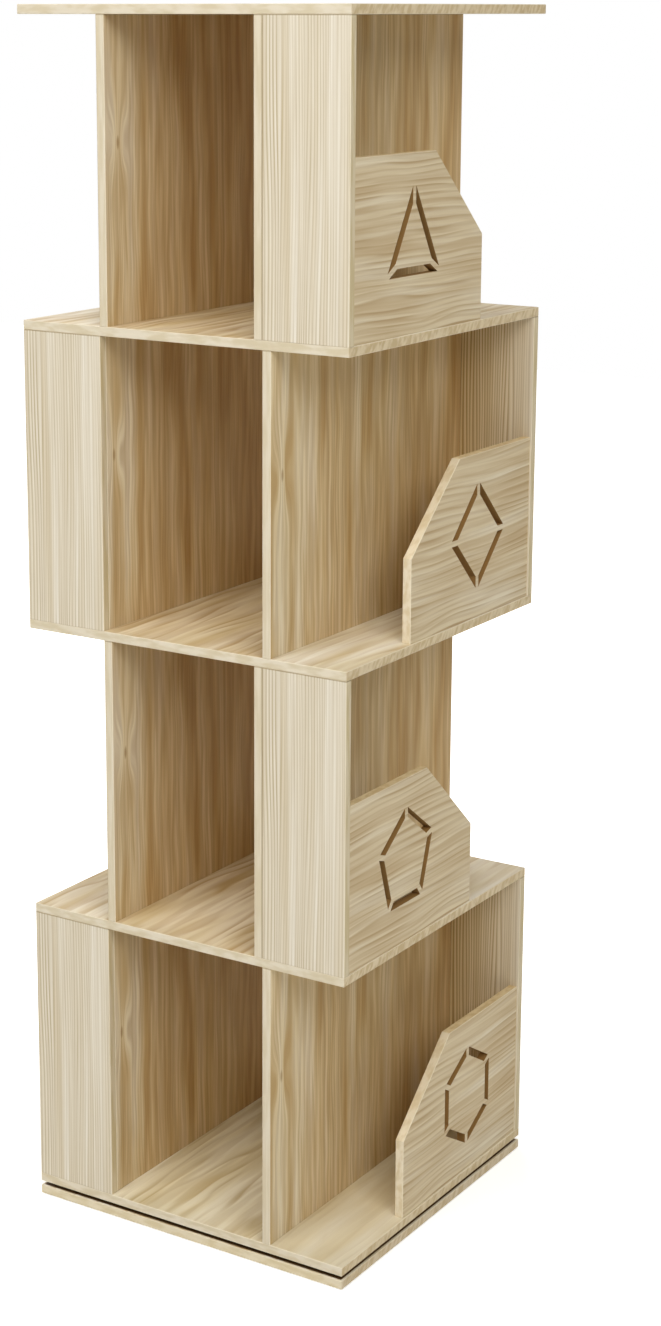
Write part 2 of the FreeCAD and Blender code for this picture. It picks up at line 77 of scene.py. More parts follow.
# Adds one shader node. Inputs go by name or number: a value, a colour such as "#FFFFFF", an output of
# another node, or the node itself for its first output in use. 6 and 7 are a Mix node's two colours, and
# 1 to 4 a Map Range node's two ranges.
def addNode(tree, kind, inputs=None, stops=None, **settings):
    node = tree.nodes.new("ShaderNode" + kind)
    for name, value in settings.items():
        setattr(node, name, value)
    if stops:
        ramp = node.color_ramp
        while len(ramp.elements) < len(stops):
            ramp.elements.new(1.0)
        for element, (position, colour) in zip(ramp.elements, stops):
            element.position = position
            element.color = linearColour(colour) if isinstance(colour, str) else [colour] * 3 + [1.0]
    for key, value in (inputs or {}).items():
        if isinstance(value, bpy.types.Node):
            value = next(output for output in value.outputs if output.enabled)
        if isinstance(value, bpy.types.NodeSocket):
            tree.links.new(value, node.inputs[key])
        else:
            node.inputs[key].default_value = linearColour(value) if isinstance(value, str) else value
    return node


# An empty material, and the function that adds nodes to it.
def newMaterial(name):
    material = bpy.data.materials.new(name)
    material.use_nodes = True
    material.node_tree.nodes.clear()
    return material, functools.partial(addNode, material.node_tree)


def dress(node, material):
    slots = nodes[node].data.materials
    slots.clear()
    slots.append(material)


# Sizes given across the grain, along it and through the board, in millimetres, put in X, Y, Z order.
def inAxes(look, sizes):
    ordered = [0, 0, 0]
    for axis, size in zip(look["axes"], sizes):
        ordered[axis] = size * mm
    return ordered


# What every board's print and lacquer share. A contrast is where a noise starts to mark and marks in full.
pinePrint = {
    "contrast": (0.35, 0.65), "streakContrast": (0.4, 0.62), "strandContrast": (0.42, 0.6),
    # insideShadeLeast is how much of the painted inside shade is left at the outer edge.
    "layerApart": 0.37, "knotStrength": 0.7, "insideShadeLeast": 0.15, "sideNudge": 0.01,
    # The pale colour of the eased corners is a painted highlight.
    "edgeToFace": (0.6, 0.9), "easedHighlightColour": "#EFE6D0",
    "easedHighlightFacing": [(0.25, 0.0), (0.4, 0.55), (0.9, 0.55), (0.98, 0.0)],
    "ringRelief": -0.5, "bump": 0.2, "relief": 0.12,
    "rough": (0.62, 0.74), "roughRings": 0.6, "ior": 1.45, "specular": 0.3,
}


# Reads where each point lies on a board. The print starts again at each tier and in each panel, and turns
# round on a board's other face.
def readPlace(board):
    add, look, across = board.add, board.look, board.across
    place = add("TexCoord").outputs
    board.place = place["Object"]
    board.spot = add("SeparateXYZ", {0: place["Object"]}).outputs
    board.normal = add("SeparateXYZ", {0: place["Normal"]}).outputs
    board.overShelf = add("Math", {0: board.spot[2], 1: firstShelf}, operation="SUBTRACT")
    board.tierHeight = add("Math", {0: board.overShelf, 1: tierPitch}, operation="FLOORED_MODULO")
    spots = [board.spot[0], board.spot[1], board.tierHeight if look["repeats"] else board.spot[2]]
    if look["turns"]:
        nudge = pinePrint["sideNudge"]      # the edges get a side too
        nudged = add("Math", {0: board.normal[board.depth], 1: nudge}, operation="ADD")
        side = add("Math", {0: nudged}, operation="SIGN")
        spots[across] = add("Math", {0: board.spot[across], 1: side}, operation="MULTIPLY")
    if look.get("cell"):
        spots[across] = add("Math", {0: spots[across], 1: look["cell"] * mm}, operation="FLOORED_MODULO")
    board.printAcross = spots[across]
    board.printPlace = add("CombineXYZ", dict(enumerate(spots)))


# The rings wander slowly from side to side, and draw together round a pin knot near the front end.
def bendGrain(board):
    add, look = board.add, board.look
    wanderPlace = add("Mapping", {
        "Vector": board.printPlace, "Scale": inAxes(look, look["wander"])}, vector_type="TEXTURE")
    wander = add("TexNoise", {"Vector": wanderPlace, "Scale": 1.0, "Detail": 1.0})
    wanderBy = look["wanderBy"] * mm
    sway = add("Math", {0: wander, 1: wanderBy, 2: -wanderBy / 2}, operation="MULTIPLY_ADD")
    feather = look.get("feather")
    if feather:
        knotPlace = add("Mapping", {
            "Vector": board.printPlace, "Location": inAxes(look, feather["centre"]),
            "Scale": inAxes(look, feather["size"])}, vector_type="TEXTURE")
        knotReach = add("VectorMath", {0: knotPlace, 1: knotPlace}, operation="DOT_PRODUCT")
        knotFall = add("Math", {0: knotReach, 1: -1.0}, operation="MULTIPLY")
        board.bell = add("Math", {0: knotFall}, operation="EXPONENT")
        knotSide = add("SeparateXYZ", {0: knotPlace}).outputs[board.across]
        drawn = add("Math", {0: knotSide, 1: board.bell}, operation="MULTIPLY")
        pull = feather["pull"] * feather["size"][0] * mm
        sway = add("Math", {0: drawn, 1: pull, 2: sway}, operation="MULTIPLY_ADD")
    axis = axisUnits[board.across]
    board.flow = add("VectorMath", {0: axis, 1: sway, 2: board.printPlace}, operation="MULTIPLY_ADD")


# Each layer of the print reads its own part of the noise, stretched along the grain.
def readNoise(board):
    look = board.look
    board.noise = {}
    for index, (layer, (*sizes, detail)) in enumerate(look["layers"].items()):
        slant = math.radians(look.get("edgeSlant", 0)) if layer == "edgeMarks" else 0
        shift = look["shift"] * mm + index * pinePrint["layerApart"]
        mapped = board.add("Mapping", {
            "Vector": board.flow, "Location": [shift] * 3, "Rotation": (slant, 0, 0),
            "Scale": inAxes(look, sizes)}, vector_type="TEXTURE")
        board.noise[layer] = board.add("TexNoise", {"Vector": mapped, "Scale": 1.0, "Detail": detail})


# A face of the board: bands first, then rings, streaks and fibres over them.
def printFace(board):
    add, look, noise = board.add, board.look, board.noise
    low, high = look["bandRange"]
    face = add("ValToRGB", {0: noise["bands"]}, stops=[
        (low, look["dark"]), ((low + high) / 2, look["middle"]), (high, look["pale"])])

    flowAcross = add("SeparateXYZ", {0: board.flow}).outputs[board.across]
    ringPlace = add("Math", {0: flowAcross, 1: look["ring"] * mm}, operation="DIVIDE")
    count = add("Math", {0: noise["wobble"], 1: look["wobbleBy"], 2: ringPlace}, operation="MULTIPLY_ADD")
    board.ring = add("ValToRGB", {0: add("Math", {0: count}, operation="FRACT")}, stops=look["ringProfile"])
    begin, full = pinePrint["contrast"]
    faint, strong = look["ringRange"]
    patchy = add("MapRange", {0: noise["patches"], 1: begin, 2: full, 3: faint, 4: strong}, **smooth)
    rings = add("Math", {0: board.ring, 1: patchy}, operation="MULTIPLY")

    streakBegin, streakFull = pinePrint["streakContrast"]
    streaks = add("MapRange", {
        0: noise["streaks"], 1: streakBegin, 2: streakFull, 3: look["streakStrength"], 4: 0.0}, **smooth)
    if look.get("fading"):
        # Part of the board is plainer.
        start, end, least = look["fading"]
        left = add("MapRange", {
            0: board.printAcross, 1: start * mm, 2: end * mm, 3: least, 4: 1.0}, **smooth)
        rings = add("Math", {0: rings, 1: left}, operation="MULTIPLY")
        streaks = add("Math", {0: streaks, 1: left}, operation="MULTIPLY")
    fibres = add("MapRange", {
        0: noise["fibres"], 1: begin, 2: full, 3: 0.0, 4: look["fibreStrength"]}, **smooth)
    for amount, colour in ((rings, "line"), (streaks, "line"), (fibres, "fibre")):
        face = add("Mix", {0: amount, 6: face, 7: look[colour]}, **coloured)
    board.rings = rings
    return face


# Pale strands fan out round the pin knot.
def featherKnot(board, face):
    add, feather = board.add, board.look["feather"]
    begin, full = pinePrint["strandContrast"]
    strands = add("MapRange", {
        0: board.noise["streaks"], 1: begin, 2: full, 3: 0.0, 4: feather["strands"]}, **smooth)
    paler = add("Math", {0: strands, 1: board.bell}, operation="MULTIPLY")
    face = add("Mix", {0: paler, 6: face, 7: feather["strandColour"]}, **coloured)
    knot = add("MapRange", {
        0: board.bell, 1: feather["knotEdge"], 2: 1.0, 3: 0.0, 4: pinePrint["knotStrength"]}, **smooth)
    return add("Mix", {0: knot, 6: face, 7: feather["knotColour"]}, **coloured)


# 1 on the side of an upright that looks into the bookcase, 0 on the other.
def inwardSide(board):
    normal, spot = board.normal[board.depth], board.spot[board.depth]
    outward = board.add("Math", {0: normal, 1: spot}, operation="MULTIPLY")
    return board.add("Math", {0: outward, 1: 0.0}, operation="LESS_THAN")


# The board's tone changes over its width: 0 is at one edge, 1 at the other. The faces of the middle column
# also get painted shade, browner towards their far end.
def toneOverWidth(board, face):
    add, look = board.add, board.look
    width = add("MapRange", {0: board.printAcross, 1: -boardHalf, 2: boardHalf})
    tint = add("ValToRGB", {0: width}, stops=look["tint"])
    face = add("Mix", {0: 1.0, 6: face, 7: tint}, **tinted)
    if look.get("columnShade"):
        farShade = add("ValToRGB", {0: width}, stops=look["columnShade"])
        face = add("Mix", {0: inwardSide(board), 6: face, 7: farShade}, **tinted)
    return face


# Painted warm shade: the face that looks into the bookcase is tinted more golden and darker, most of all in
# the corner beside the divider.
def shadeInside(board, face):
    add, look = board.add, board.look
    outer = add("Math", {0: board.spot[board.across]}, operation="ABSOLUTE")
    cornerShade = add("MapRange", {0: outer, 1: columnHalf, 2: boardHalf, 3: 1.0, 4: pinePrint["insideShadeLeast"]})
    amount = add("Math", {0: inwardSide(board), 1: cornerShade}, operation="MULTIPLY")
    lineAmount = add("Math", {0: amount, 1: board.ring}, operation="MULTIPLY")
    face = add("Mix", {0: amount, 6: face, 7: look["insideShade"]}, **tinted)
    return add("Mix", {0: lineAmount, 6: face, 7: look["insideShadeLine"]}, **coloured)


# Edges show shorter, plainer marks, and those that face sideways or up are tanner. The eased corners get a
# pale painted highlight.
def addEdges(board, face):
    add, look = board.add, board.look
    begin, full = pinePrint["contrast"]
    marks = add("MapRange", {0: board.noise["edgeMarks"], 1: begin, 2: full}, **smooth)
    frontEdge = add("Mix", {0: marks, 6: look["edge"], 7: look["edgeFleck"]}, **coloured)
    sideEdge = add("Mix", {0: marks, 6: look["sideEdge"], 7: look["sideFleck"]}, **coloured)
    board.frontward = add("Math", {0: board.normal[1]}, operation="ABSOLUTE")
    edge = add("Mix", {0: board.frontward, 6: sideEdge, 7: frontEdge}, **coloured)
    facing = add("Math", {0: board.normal[board.depth]}, operation="ABSOLUTE")
    edgeWhole, faceWhole = pinePrint["edgeToFace"]
    board.edgeAmount = add("MapRange", {0: facing, 1: edgeWhole, 2: faceWhole, 3: 1.0, 4: 0.0})
    surface = add("Mix", {0: board.edgeAmount, 6: face, 7: edge}, **coloured)
    # Painted highlight on the eased corners.
    easedHighlight = add("ValToRGB", {0: facing}, stops=pinePrint["easedHighlightFacing"])
    return add("Mix", {0: easedHighlight, 6: surface, 7: pinePrint["easedHighlightColour"]}, **coloured)


# The walls of the slots are bare board, browned by the cutter.
def brownSlots(board, surface):
    add, cut = board.add, board.look["cutWall"]
    centre = (0, board.look["cutSide"] * cut["along"] * mm, cut["height"] * mm)
    fromCentre = add("VectorMath", {0: board.printPlace, 1: centre}, operation="SUBTRACT")
    flat = add("VectorMath", {0: fromCentre, 1: (0, 1, 1)}, operation="MULTIPLY")
    reach = add("VectorMath", {0: flat}, operation="LENGTH")
    within = add("Math", {0: reach, 1: cut["radius"] * mm}, operation="LESS_THAN")
    wall = add("Math", {0: within, 1: board.edgeAmount}, operation="MULTIPLY")
    return add("Mix", {0: wall, 6: surface, 7: cut["colour"]}, **coloured)


# A hairline of shadow where the upright's ends meet the boards, and in every second tier where the panel is
# butted to the divider's side.
def shadeJoints(board, surface):
    add, joints = board.add, board.look["joints"]
    topStart, topEnd = joints["top"]
    footStart, footEnd = joints["foot"]
    top = add("MapRange", {
        0: board.tierHeight, 1: topStart * mm, 2: topEnd * mm, 3: 0.0, 4: joints["topStrength"]})
    foot = add("MapRange", {
        0: board.tierHeight, 1: footStart * mm, 2: footEnd * mm, 3: joints["footStrength"], 4: 0.0})
    hairline = add("Math", {0: top, 1: foot}, operation="ADD")
    if joints["butt"]:
        sideways = add("Math", {0: board.spot[0]}, operation="ABSOLUTE")
        offButt = add("Math", {0: sideways, 1: columnHalf, 2: joints["butt"] * mm}, operation="COMPARE")
        twoTiers = add("Math", {0: board.overShelf, 1: 2 * tierPitch}, operation="FLOORED_MODULO")
        even = add("Math", {0: twoTiers, 1: tierPitch}, operation="GREATER_THAN")
        frontAndBack = add("Math", {0: board.frontward, 1: joints["buttFacing"]}, operation="GREATER_THAN")
        butt = add("Math", {0: offButt, 1: even}, operation="MULTIPLY")
        buttLine = add("Math", {0: butt, 1: frontAndBack}, operation="MULTIPLY")
        buttAmount = add("Math", {0: buttLine, 1: joints["buttStrength"]}, operation="MULTIPLY")
        hairline = add("Math", {0: hairline, 1: buttAmount}, operation="MAXIMUM")
    return add("Mix", {0: hairline, 6: surface, 7: joints["colour"]}, **coloured)


# Painted shade: the two faces at the turntable gap are coloured dark brown, so the gap reads as a dark
# line.
def shadeGapFaces(board, surface):
    add, gap = board.add, board.look["gap"]
    level = add("Math", {0: board.spot[2], 1: gap["level"] * mm, 2: gap["reach"] * mm}, operation="COMPARE")
    upDown = add("Math", {0: board.normal[2]}, operation="ABSOLUTE")
    flatFace = add("Math", {0: upDown, 1: gap["facing"]}, operation="GREATER_THAN")
    fromMiddle = add("VectorMath", {0: board.place}, operation="ABSOLUTE")
    reached = add("SeparateXYZ", {0: fromMiddle}).outputs
    farthest = add("Math", {0: reached[0], 1: reached[1]}, operation="MAXIMUM")
    offEdge = add("Math", {0: farthest, 1: gap["within"] * mm}, operation="LESS_THAN")
    levelFace = add("Math", {0: level, 1: flatFace}, operation="MULTIPLY")
    gapShadeAmount = add("Math", {0: levelFace, 1: offEdge}, operation="MULTIPLY")
    return add("Mix", {0: gapShadeAmount, 6: surface, 7: gap["colour"]}, **coloured)


# What a look may have beyond the print itself, in the order in which it is laid over it.
finishes = (
    ("feather", featherKnot), ("tint", toneOverWidth), ("insideShade", shadeInside), ("edge", addEdges),
    ("cutWall", brownSlots), ("joints", shadeJoints), ("gap", shadeGapFaces),
)


# Pine print on board, matt lacquered: a pale body, soft broad bands, and growth rings that darken slowly
# and end sharply, so each line has one crisp side. Sizes are in millimetres: across the grain, along it
# and through the board. The fourth number of a layer is its detail.
def pineBoard(name, look):
    material, add = newMaterial(name)
    board = types.SimpleNamespace(add=add, look=look, across=look["axes"][0], depth=look["axes"][2])
    readPlace(board)
    bendGrain(board)
    readNoise(board)
    surface = printFace(board)
    for key, lay in finishes:
        if look.get(key):
            surface = lay(board, surface)

    smoother, rougher = pinePrint["rough"]
    relief = add("Math", {
        0: board.ring, 1: pinePrint["ringRelief"], 2: board.noise["fibres"]}, operation="MULTIPLY_ADD")
    bump = add("Bump", {
        "Height": relief, "Strength": pinePrint["bump"], "Distance": pinePrint["relief"] * mm})
    rough = add("MapRange", {0: board.rings, 1: 0.0, 2: pinePrint["roughRings"], 3: smoother, 4: rougher})
    shader = add("BsdfPrincipled", {
        "Base Color": surface, "Roughness": rough, "Normal": bump,
        "IOR": pinePrint["ior"], "Specular IOR Level": pinePrint["specular"]})
    add("OutputMaterial", {0: shader})
    return material


thinRing = [(0.0, 0.0), (0.4, 0.05), (0.78, 1.0), (1.0, 0.0)]
broadRing = [(0.0, 0.0), (0.5, 0.3), (0.86, 1.0), (1.0, 0.0)]
uprightJoints = {
    "top": (322.3, 322.9), "topStrength": 0.6, "foot": (10.4, 11.0), "footStrength": 0.15,
    "butt": 0.8, "buttStrength": 0.65, "buttFacing": 0.3, "colour": "#8F7A55",
}

# End panels: cream, with close straight upright rings a little over 3 mm apart, clearest at one side.
panelLook = {
    "axes": (0, 2, 1), "repeats": True, "turns": True, "cell": 100, "shift": 0,
    "wander": (70, 240, 60), "wanderBy": 2.5,
    "layers": {
        "bands": (11, 600, 40, 2), "wobble": (22, 500, 60, 1), "patches": (24, 240, 60, 1),
        "streaks": (2.3, 260, 30, 2), "fibres": (0.7, 26, 0.9, 3), "edgeMarks": (6, 60, 5, 2)},
    "bandRange": (0.3, 0.68), "dark": "#D9CEB8", "middle": "#E2DAC9", "pale": "#E9E3D6",
    "ring": 3.5, "ringProfile": thinRing, "wobbleBy": 5, "ringRange": (0.35, 1.0), "line": "#B29F79",
    "fading": (0, 70, 0.6), "streakStrength": 0.28, "fibre": "#C6B899", "fibreStrength": 0.12,
    "edge": "#D8CBAE", "edgeFleck": "#CBBB94", "sideEdge": "#D8CBAE", "sideFleck": "#CBBB94",
    # The inward face's golden, darker tint is painted warm shade.
    "insideShade": "#F3E0B4", "insideShadeLine": "#98794A", "joints": uprightJoints,
}

# Dividers: warmer, in soft broad upright bands, paler at the front end, with a pin knot there.
dividerLook = {
    "axes": (1, 2, 0), "repeats": True, "turns": True, "shift": 115,
    "wander": (60, 95, 60), "wanderBy": 9,
    "layers": {
        "bands": (22, 250, 40, 2), "wobble": (24, 320, 60, 1), "patches": (40, 180, 60, 1),
        "streaks": (6.5, 150, 30, 3), "fibres": (0.9, 30, 1.0, 3), "edgeMarks": (6, 60, 5, 2)},
    "bandRange": (0.34, 0.66), "dark": "#C9AD7B", "middle": "#E3D2AC", "pale": "#EDE2C8",
    "ring": 5.5, "ringProfile": thinRing, "wobbleBy": 5, "ringRange": (0.06, 0.36), "line": "#A28150",
    "streakStrength": 0.34, "fibre": "#BEA178", "fibreStrength": 0.12,
    "edge": "#DBD0BA", "edgeFleck": "#D2C5A9", "sideEdge": "#DBD0BA", "sideFleck": "#D2C5A9",
    "tint": [(0.1, "#FFFFFF"), (0.22, "#F8F1E7"), (0.5, "#F3EAD9"), (1.0, "#F0E1CA")],
    # Painted shade: the faces in the middle column turn browner towards their far end.
    "columnShade": [(0.1, "#FFFFFF"), (0.5, "#FCF6EA"), (1.0, "#E5D5C2")],
    "feather": {"centre": (-178, 196, 0), "size": (12, 36, 1000), "pull": 2.2, "strands": 0.55,
                "strandColour": "#EFE2BE", "knotEdge": 0.93, "knotColour": "#9A7747"},
    "joints": uprightJoints,
}

# Guards: level rings and short soft streaks that wander together in low waves.
guardLook = {
    "axes": (2, 1, 0), "repeats": True, "turns": False, "shift": 0,
    "wander": (150, 150, 60), "wanderBy": 13,
    "layers": {
        "bands": (15, 260, 40, 2), "wobble": (30, 280, 60, 1), "patches": (24, 150, 60, 1),
        "streaks": (3.8, 190, 30, 2), "fibres": (0.8, 24, 1.0, 3), "edgeMarks": (12, 14, 6, 2)},
    "bandRange": (0.3, 0.7), "dark": "#D1BD99", "middle": "#E0D1B1", "pale": "#E9DFC7",
    "ring": 7.5, "ringProfile": broadRing, "wobbleBy": 3, "ringRange": (0.15, 0.8), "line": "#AE9167",
    "streakStrength": 0.26, "fibre": "#C5B187", "fibreStrength": 0.14,
    "edge": "#E6DBC4", "edgeFleck": "#D8C8A7", "sideEdge": "#E8D3A8", "sideFleck": "#D8BF90",
    "cutWall": {"along": 73, "height": 100, "radius": 66, "colour": "#9A7746"},
    "joints": dict(uprightJoints, topStrength=0, butt=0),
}

# Shelves, bottom shelf and top board: grain from front to back, in soft golden streaks.
shelfLook = {
    "axes": (0, 1, 2), "repeats": False, "turns": False, "shift": 0,
    "wander": (90, 170, 60), "wanderBy": 12,
    "layers": {
        "bands": (22, 170, 60, 1), "wobble": (40, 220, 60, 1), "patches": (34, 110, 60, 1),
        "streaks": (10, 120, 60, 1), "fibres": (0.8, 26, 1.0, 3), "edgeMarks": (24, 5, 14, 2)},
    "bandRange": (0.32, 0.66), "dark": "#DDCFAC", "middle": "#EDE5CF", "pale": "#F2ECDC",
    "ring": 17, "ringProfile": broadRing, "wobbleBy": 4, "ringRange": (0.1, 0.75), "line": "#B39360",
    "fading": (118, 96, 0.75), "streakStrength": 0.3, "fibre": "#CDB88F", "fibreStrength": 0.1,
    "edge": "#DDD3BE", "edgeFleck": "#D0C3A6", "sideEdge": "#DFCFAF", "sideFleck": "#CBB68E",
    "edgeSlant": -35,
    # Over the middle column the shelves are a little darker and warmer: painted shade.
    "tint": [(0.0, "#FFFFFF"), (0.24, "#FFFFFF"), (0.26, "#FCF4E4"), (0.74, "#FCF4E4"), (0.76, "#FFFFFF")],
    # Painted shade: the faces in the turntable gap are dark brown.
    "gap": {"level": 13.5, "reach": 3, "facing": 0.5, "within": 197.5, "colour": "#5A4020"},
}

# The bottom shelf's print is plainer at its right, and the base board's edges are tanner.
bottomLook = dict(
    shelfLook, fading=(118, 96, 0.3), dark="#E3D7BA", line="#AF955F", ringRange=(0.05, 0.6),
    tint=[(0.24, "#FFFFFF"), (0.26, "#FFFDF1"), (0.74, "#FFFDF1"), (0.76, "#F5F2E9")])
baseLook = dict(shelfLook, edge="#DFD3B8", edgeFleck="#D3C4A1", sideEdge="#DFD0B4", sideFleck="#CDB993")

print("boards: pine print on every board")
panelPine = pineBoard("striped pine print", panelLook)
dividerPine = pineBoard("broad-grained pine print", dividerLook)
shelfPine = pineBoard("lengthwise pine print", shelfLook)
bottomPine = pineBoard("lengthwise pine print, plain side", bottomLook)
basePine = pineBoard("lengthwise pine print, tan edge", baseLook)
guardPines = {
    side: pineBoard("wavy pine print %+d" % side, dict(guardLook, cutSide=side)) for side in (1, -1)}

for node in ("shelf_1", "shelf_2", "shelf_3", "top_board"):
    dress(node, shelfPine)
dress("bottom_shelf", bottomPine)
dress("base_board", basePine)
for tier in tiers:
    rightSide = 1 if tier % 2 else -1       # the end of the guard that its figure is nearer to
    for end in ("front", "back"):
        dress("tier_%d_end_panel_%s" % (tier, end), panelPine)
    for hand, side in (("right", rightSide), ("left", -rightSide)):
        dress("tier_%d_divider_%s" % (tier, hand), dividerPine)
        dress("tier_%d_guard_%s" % (tier, hand), guardPines[side])


print("small parts: steel, plastic, beech and felt")
# What their materials share: where a noise starts and stops to tell, and how strong the bumps are.
smallPrint = {
    "colourRange": (0.35, 0.65), "roughRange": (0.3, 0.7), "cloudDetail": 3.0,
    "cloudBump": 0.2, "cloudRelief": 0.03, "mottleBump": 0.4, "fuzz": 0.5,
}


# Zinc-plated or bright steel: grey-blue, with soft cloudy spangle.
def cloudySteel(name, look):
    material, add = newMaterial(name)
    cloudPlace = add("Mapping", {
        "Vector": add("TexCoord").outputs["Object"], "Scale": [1 / (look["spangle"] * mm)] * 3})
    cloud = add("TexNoise", {"Vector": cloudPlace, "Scale": 1.0, "Detail": smallPrint["cloudDetail"]})
    begin, full = smallPrint["colourRange"]
    colour = add("ValToRGB", {0: cloud}, stops=[(begin, look["dark"]), (full, look["pale"])])
    start, end = smallPrint["roughRange"]
    smoother, rougher = look["rough"]
    rough = add("MapRange", {0: cloud, 1: start, 2: end, 3: smoother, 4: rougher})
    bump = add("Bump", {
        "Height": cloud, "Strength": smallPrint["cloudBump"], "Distance": smallPrint["cloudRelief"] * mm})
    shader = add("BsdfPrincipled", {
        "Base Color": colour, "Metallic": 1.0, "Roughness": rough, "Normal": bump})
    add("OutputMaterial", {0: shader})
    return material


# Solid or moulded stuff with a soft mottle: beech, acetal and felt.
def mottled(name, look):
    material, add = newMaterial(name)
    mapped = add("Mapping", {
        "Vector": add("TexCoord").outputs["Object"], "Scale": [1 / (size * mm) for size in look["grain"]]})
    noise = add("TexNoise", {"Vector": mapped, "Scale": 1.0, "Detail": look["detail"]})
    begin, full = smallPrint["colourRange"]
    colour = add("ValToRGB", {0: noise}, stops=[(begin, look["dark"]), (full, look["pale"])])
    start, end = smallPrint["roughRange"]
    smoother, rougher = look["rough"]
    rough = add("MapRange", {0: noise, 1: start, 2: end, 3: smoother, 4: rougher})
    bump = add("Bump", {
        "Height": noise, "Strength": smallPrint["mottleBump"], "Distance": look["relief"] * mm})
    shader = add("BsdfPrincipled", {
        "Base Color": colour, "Roughness": rough, "Normal": bump,
        "IOR": look["ior"], "Sheen Weight": look["sheen"], "Sheen Roughness": smallPrint["fuzz"]})
    add("OutputMaterial", {0: shader})
    return material


# Turntable plates and rivet: plated sheet, its spangle the size of a fingertip.
zincSheet = cloudySteel("zinc-plated pressed steel", {
    "spangle": 7, "dark": "#9EA2A4", "pale": "#B9BDBF", "rough": (0.32, 0.45)})
# Screws: the same plating, fine and a little warmer.
screwZinc = cloudySteel("zinc-plated cold-headed steel", {
    "spangle": 1.2, "dark": "#A9A79C", "pale": "#C6C4B8", "rough": (0.25, 0.38)})
# Balls: ground and bright, with hardly any cloud.
ballSteel = cloudySteel("ground bearing steel", {
    "spangle": 2.5, "dark": "#BFC0C2", "pale": "#CBCCCE", "rough": (0.08, 0.14)})
# Ball cage: milky, with a dull moulded gloss.
acetal = mottled("moulded white acetal", {
    "grain": (5, 5, 5), "detail": 2.0, "dark": "#DEDDD2", "pale": "#E8E7DE",
    "rough": (0.38, 0.48), "relief": 0.02, "ior": 1.48, "sheen": 0.0})
# Dowels: tan and dry, with fine upright pores.
beech = mottled("turned beech", {
    "grain": (0.9, 0.9, 7), "detail": 3.0, "dark": "#B98F5F", "pale": "#D6B285",
    "rough": (0.55, 0.68), "relief": 0.05, "ior": 1.45, "sheen": 0.0})
# Pads: dark and fuzzy.
felt = mottled("pressed wool felt", {
    "grain": (0.6, 0.6, 0.6), "detail": 5.0, "dark": "#4B3F32", "pale": "#6A5A48",
    "rough": (0.9, 1.0), "relief": 0.3, "ior": 1.5, "sheen": 0.3})

dress("turntable_plate_lower", zincSheet)
dress("turntable_plate_upper", zincSheet)
dress("ball_cage", acetal)
dress("base_pads", felt)


# The middle of each separate solid of a CAD node: its vertices lie within one reach of each other.
def solidCentres(node, reach):
    groups = []
    for vertex in nodes[node].data.vertices:
        for group in groups:
            if (vertex.co.xy - group[0].xy).length < reach:
                group.append(vertex.co)
                break
        else:
            groups.append([vertex.co])
    return [(Vector(map(min, *group)) + Vector(map(max, *group))) / 2 for group in groups]


# Ends a new piece: welds it, turns its faces outwards, and lets it ride and stand for its node.
def finishPiece(name, mesh, body, material, replaced):
    bmesh.ops.remove_doubles(mesh, verts=mesh.verts, dist=weldReach)
    bmesh.ops.recalc_face_normals(mesh, faces=mesh.faces)
    data = bpy.data.meshes.new(name)
    mesh.to_mesh(data)
    mesh.free()
    piece = bpy.data.objects.new(name, data)
    bpy.context.collection.objects.link(piece)
    data.materials.append(material)
    data.shade_smooth()
    data.set_sharp_from_angle(angle=sharpAngle)
    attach(piece, body)
    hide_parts(replaced)
    return piece


# A profile of radius and height points, in millimetres, spun once about the Z axis.
def turned(profile, steps, closed=False):
    mesh = bmesh.new()
    points = [mesh.verts.new((radius * mm, 0, height * mm)) for radius, height in profile]
    edges = [mesh.edges.new(pair) for pair in zip(points, points[1:])]
    if closed:
        edges.append(mesh.edges.new((points[-1], points[0])))
    bmesh.ops.spin(mesh, geom=points + edges, cent=(0, 0, 0), axis=(0, 0, 1), angle=math.tau,
                   steps=steps, use_merge=True, use_duplicate=False)
    bmesh.ops.remove_doubles(mesh, verts=mesh.verts, dist=weldReach)
    return mesh


# One cross-recess screw: its driving face at height 0 looks up, its tip is below.
def crossScrew(look):
    threadTop, threadEnd = look["thread"]
    ridges = int((threadTop - threadEnd) / look["pitch"])
    profile = list(look["head"])
    for ridge in range(ridges):
        level = threadTop - ridge * look["pitch"]
        profile += [(look["core"], level), (look["shank"], level - look["pitch"] / 2)]
    profile += [(look["core"], threadEnd), (0, threadEnd - look["core"])]
    mesh = turned(profile, look["steps"])
    rim = [edge for edge in mesh.edges if edge.is_boundary]

    # A circle's vertices, three to an arm, move out to the cross, which is then sunk and floored.
    half, reach, depth = look["crossHalf"] * mm, look["crossReach"] * mm, look["crossDepth"] * mm
    corners = (Vector((reach, -half, 0)), Vector((reach, half, 0)), Vector((half, half, 0)))
    arms = 4
    made = bmesh.ops.create_circle(mesh, segments=arms * len(corners), radius=reach)["verts"]
    for index, vertex in enumerate(made):
        arm, corner = divmod(index, len(corners))
        vertex.co = Matrix.Rotation(math.tau / arms * arm, 3, "Z") @ corners[corner]
    cross = [edge for edge in mesh.edges if edge.verts[0] in made and edge.verts[1] in made]
    bmesh.ops.bridge_loops(mesh, edges=rim + cross)
    sunk = bmesh.ops.extrude_edge_only(mesh, edges=cross)["geom"]
    lower = [item for item in sunk if isinstance(item, bmesh.types.BMVert)]
    bmesh.ops.scale(mesh, verts=lower, vec=(look["crossTaper"], look["crossTaper"], 1))
    bmesh.ops.translate(mesh, verts=lower, vec=(0, 0, -depth))
    floorEdges = [item for item in sunk if isinstance(item, bmesh.types.BMEdge)]
    bmesh.ops.contextual_create(mesh, geom=floorEdges)
    return mesh


